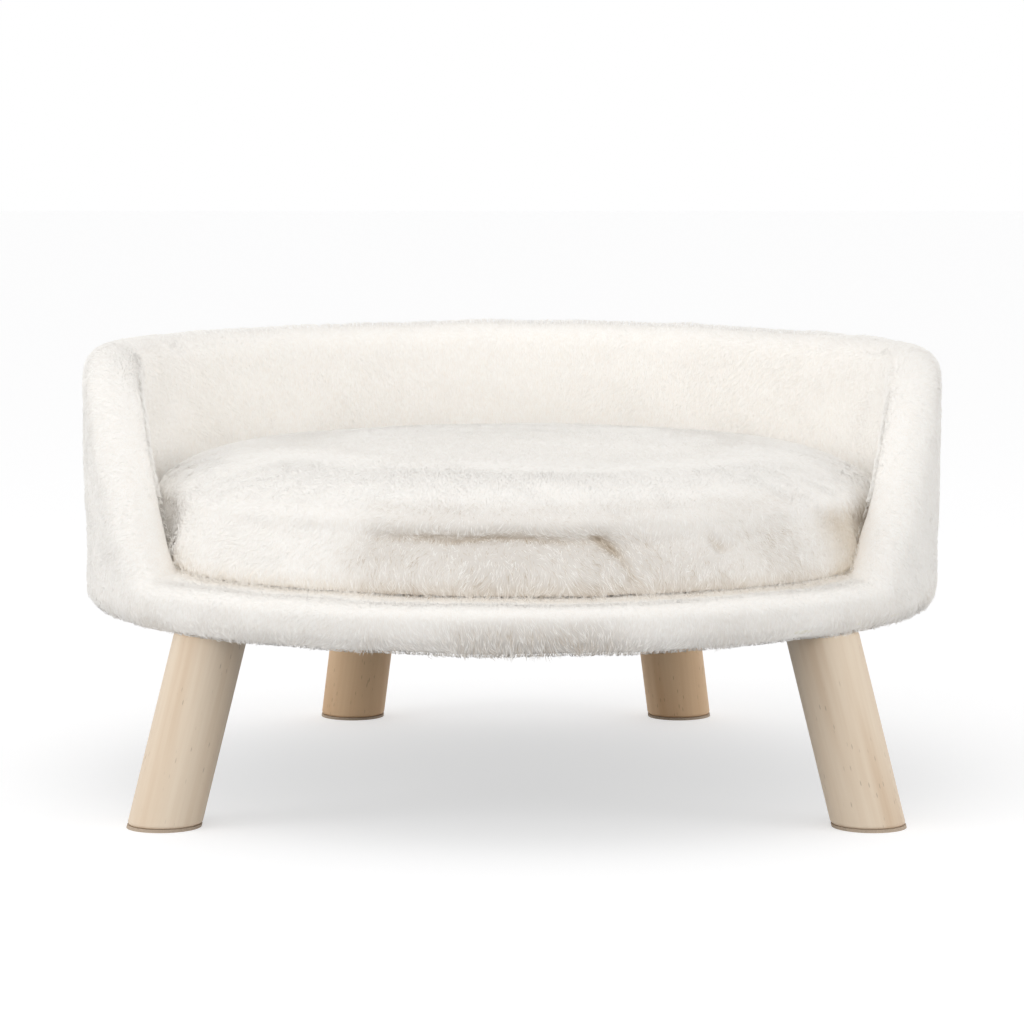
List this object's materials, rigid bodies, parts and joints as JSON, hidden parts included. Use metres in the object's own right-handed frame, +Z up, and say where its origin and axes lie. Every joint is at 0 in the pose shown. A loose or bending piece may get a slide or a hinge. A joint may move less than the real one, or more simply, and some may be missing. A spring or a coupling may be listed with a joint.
{
  "type": "dog sofa bed",
  "caption": "Round raised sofa bed for a small dog: plush-covered base and low curved backrest open to the front, splayed wooden legs and a loose zipped cushion.",
  "frame": {"origin": "on the floor, under the centre of the round base", "axes": "+Z up; the open front, where the pet steps in, faces -Y; +X to the right seen from the front"},
  "size_m": [0.5994, 0.5971, 0.307],
  "materials": {
    "plush": "long soft cream plush",
    "cushion_plush": "long soft cream plush",
    "leg_wood": "pale rubberwood, clear matt lacquer",
    "felt": "pressed brown felt",
    "plywood": "raw plywood",
    "foam": "open-cell polyurethane foam",
    "dust_cloth": "black non-woven cloth",
    "bag_cloth": "white non-woven cloth",
    "fibre_filling": "loose polyester fibre",
    "zinc_steel": "zinc-plated steel",
    "zip_nylon": "cream nylon",
    "zip_metal": "cream enamelled zinc"
  },
  "bodies": {
    "bed": {"base_cover": "plush", "back_cover_outer": "plush", "back_cover_inner": "plush", "leg_front_left": "leg_wood", "leg_front_right": "leg_wood", "leg_rear_left": "leg_wood", "leg_rear_right": "leg_wood", "foot_pad_front_left": "felt", "foot_pad_front_right": "felt", "foot_pad_rear_left": "felt", "foot_pad_rear_right": "felt", "base_board": "plywood", "back_panel": "plywood", "base_foam": "foam", "back_foam_inner": "foam", "back_foam_outer": "foam", "dust_cover": "dust_cloth", "leg_bolts": "zinc_steel", "tee_nuts": "zinc_steel", "panel_screws": "zinc_steel", "dust_cover_staples": "zinc_steel", "hem_staples": "zinc_steel"},
    "cushion": {"cushion_top_panel": "cushion_plush", "cushion_bottom_panel": "cushion_plush", "cushion_inner_bag": "bag_cloth", "cushion_filling": "fibre_filling", "zip_tape_upper": "zip_nylon", "zip_tape_lower": "zip_nylon", "zip_chain_upper": "zip_nylon", "zip_chain_lower": "zip_nylon", "zip_stops": "zip_metal"},
    "zip_slider": {"zip_slider": "zip_metal"},
    "zip_pull": {"zip_pull": "zip_metal"}
  },
  "joints": [
    {"name": "cushion_lift", "type": "slide", "parent": "bed", "child": "cushion", "axis": [0, 0, 1], "range_m": [0, 0.2]},
    {"name": "zip_run", "type": "hinge", "parent": "cushion", "child": "zip_slider", "pos_m": [0, 0, 0.2008], "axis": [0, 0, 1], "range_deg": [0, 103.91]},
    {"name": "pull_swing", "type": "hinge", "parent": "zip_slider", "child": "zip_pull", "pos_m": [0.19776, 0.15392, 0.2008], "axis": [0, 0, -1], "range_deg": [0, 15]}
  ]
}
